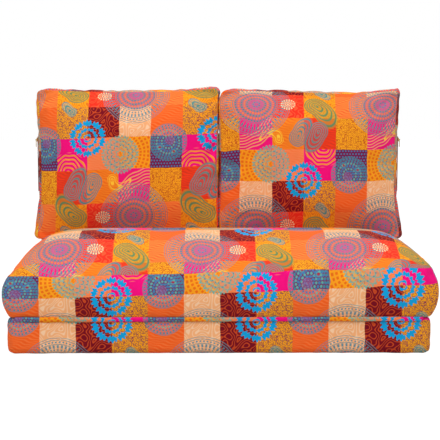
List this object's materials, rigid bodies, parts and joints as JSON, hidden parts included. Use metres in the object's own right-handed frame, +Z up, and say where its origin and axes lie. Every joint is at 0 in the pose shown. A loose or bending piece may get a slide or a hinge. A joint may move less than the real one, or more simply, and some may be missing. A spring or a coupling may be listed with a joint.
{
  "type": "fold-out foam sofa bed",
  "caption": "Fold-out foam sofa bed in patchwork cloth: a seat that turns over onto the floor, a backrest that folds down and loose back cushions.",
  "frame": {"origin": "middle of the lower block's underside, on the floor", "axes": "+X along the width, to the right seen from the front; +Y to the backrest; +Z up"},
  "size_m": [1.2443, 0.834, 0.745],
  "materials": {
    "printed_cloth": "matte",
    "gusset_cloth": "matte",
    "plain_cloth": "matte",
    "foam": "matte",
    "fibre": "matte",
    "zip_tape": "matte",
    "zip_metal": "satin"
  },
  "bodies": {
    "base": {"base_foam_core": "foam", "base_cover_bottom_panel": "plain_cloth", "base_cover_band": "printed_cloth", "base_cover_top_panel": "printed_cloth", "base_zip_tape": "zip_tape", "front_hinge_strip": "printed_cloth", "rear_hinge_flap": "printed_cloth"},
    "seat": {"seat_foam_core": "foam", "seat_fibre_wadding": "fibre", "seat_cover_bottom_panel": "plain_cloth", "seat_cover_band": "printed_cloth", "seat_cover_top_panel": "printed_cloth", "seat_zip_tape": "zip_tape"},
    "back": {"back_foam_core": "foam", "back_cover_front_panel": "printed_cloth", "back_cover_band": "printed_cloth", "back_cover_rear_panel": "printed_cloth", "back_zip_tape": "zip_tape"},
    "left_cushion": {"left_cushion_fill": "fibre", "left_cushion_front_panel": "printed_cloth", "left_cushion_gusset": "gusset_cloth", "left_cushion_back_panel": "printed_cloth", "left_cushion_zip_tape": "zip_tape"},
    "right_cushion": {"right_cushion_fill": "fibre", "right_cushion_front_panel": "printed_cloth", "right_cushion_gusset": "gusset_cloth", "right_cushion_back_panel": "printed_cloth", "right_cushion_zip_tape": "zip_tape"},
    "base_zip_slider": {"base_zip_slider": "zip_metal"},
    "base_zip_pull": {"base_zip_pull": "zip_metal"},
    "seat_zip_slider": {"seat_zip_slider": "zip_metal"},
    "seat_zip_pull": {"seat_zip_pull": "zip_metal"},
    "back_zip_slider": {"back_zip_slider": "zip_metal"},
    "back_zip_pull": {"back_zip_pull": "zip_metal"},
    "left_cushion_zip_slider": {"left_cushion_zip_slider": "zip_metal"},
    "left_cushion_zip_pull": {"left_cushion_zip_pull": "zip_metal"},
    "right_cushion_zip_slider": {"right_cushion_zip_slider": "zip_metal"},
    "right_cushion_zip_pull": {"right_cushion_zip_pull": "zip_metal"}
  },
  "joints": [
    {"name": "seat_turn", "type": "hinge", "parent": "base", "child": "seat", "pos_m": [0, -0.357, 0.10415], "axis": [1, 0, 0], "range_deg": [0, 180]},
    {"name": "back_fold", "type": "hinge", "parent": "base", "child": "back", "pos_m": [0, 0.422, 0.052], "axis": [-1, 0, 0], "range_deg": [0, 90], "deforming": ["rear_hinge_flap"]},
    {"name": "left_cushion_lift", "type": "slide", "parent": "seat", "child": "left_cushion", "axis": [0, 0, 1], "range_m": [0, 0.4]},
    {"name": "right_cushion_lift", "type": "slide", "parent": "seat", "child": "right_cushion", "axis": [0, 0, 1], "range_m": [0, 0.4]},
    {"name": "base_zip_run", "type": "slide", "parent": "base", "child": "base_zip_slider", "axis": [0, -1, 0], "range_m": [0, 0.24]},
    {"name": "base_zip_swing", "type": "hinge", "parent": "base_zip_slider", "child": "base_zip_pull", "pos_m": [0.6064, 0.12, 0.052], "axis": [0, 0, 1], "range_deg": [0, 180]},
    {"name": "seat_zip_run", "type": "slide", "parent": "seat", "child": "seat_zip_slider", "axis": [0, -1, 0], "range_m": [0, 0.24]},
    {"name": "seat_zip_swing", "type": "hinge", "parent": "seat_zip_slider", "child": "seat_zip_pull", "pos_m": [0.6244, 0.12, 0.1703], "axis": [0, 0, 1], "range_deg": [0, 180]},
    {"name": "back_zip_run", "type": "slide", "parent": "back", "child": "back_zip_slider", "axis": [0, 0, -1], "range_m": [0, 0.24]},
    {"name": "back_zip_swing", "type": "hinge", "parent": "back_zip_slider", "child": "back_zip_pull", "pos_m": [0.6064, 0.422, 0.415], "axis": [0, -1, 0], "range_deg": [0, 180]},
    {"name": "left_cushion_zip_run", "type": "slide", "parent": "left_cushion", "child": "left_cushion_zip_slider", "axis": [0, 0, -1], "range_m": [0, 0.16]},
    {"name": "left_cushion_zip_swing", "type": "hinge", "parent": "left_cushion_zip_slider", "child": "left_cushion_zip_pull", "pos_m": [-0.59944, 0.295, 0.5756], "axis": [0, 1, 0], "range_deg": [0, 180]},
    {"name": "right_cushion_zip_run", "type": "slide", "parent": "right_cushion", "child": "right_cushion_zip_slider", "axis": [0, 0, -1], "range_m": [0, 0.16]},
    {"name": "right_cushion_zip_swing", "type": "hinge", "parent": "right_cushion_zip_slider", "child": "right_cushion_zip_pull", "pos_m": [0.59944, 0.295, 0.5756], "axis": [0, -1, 0], "range_deg": [0, 180]}
  ]
}
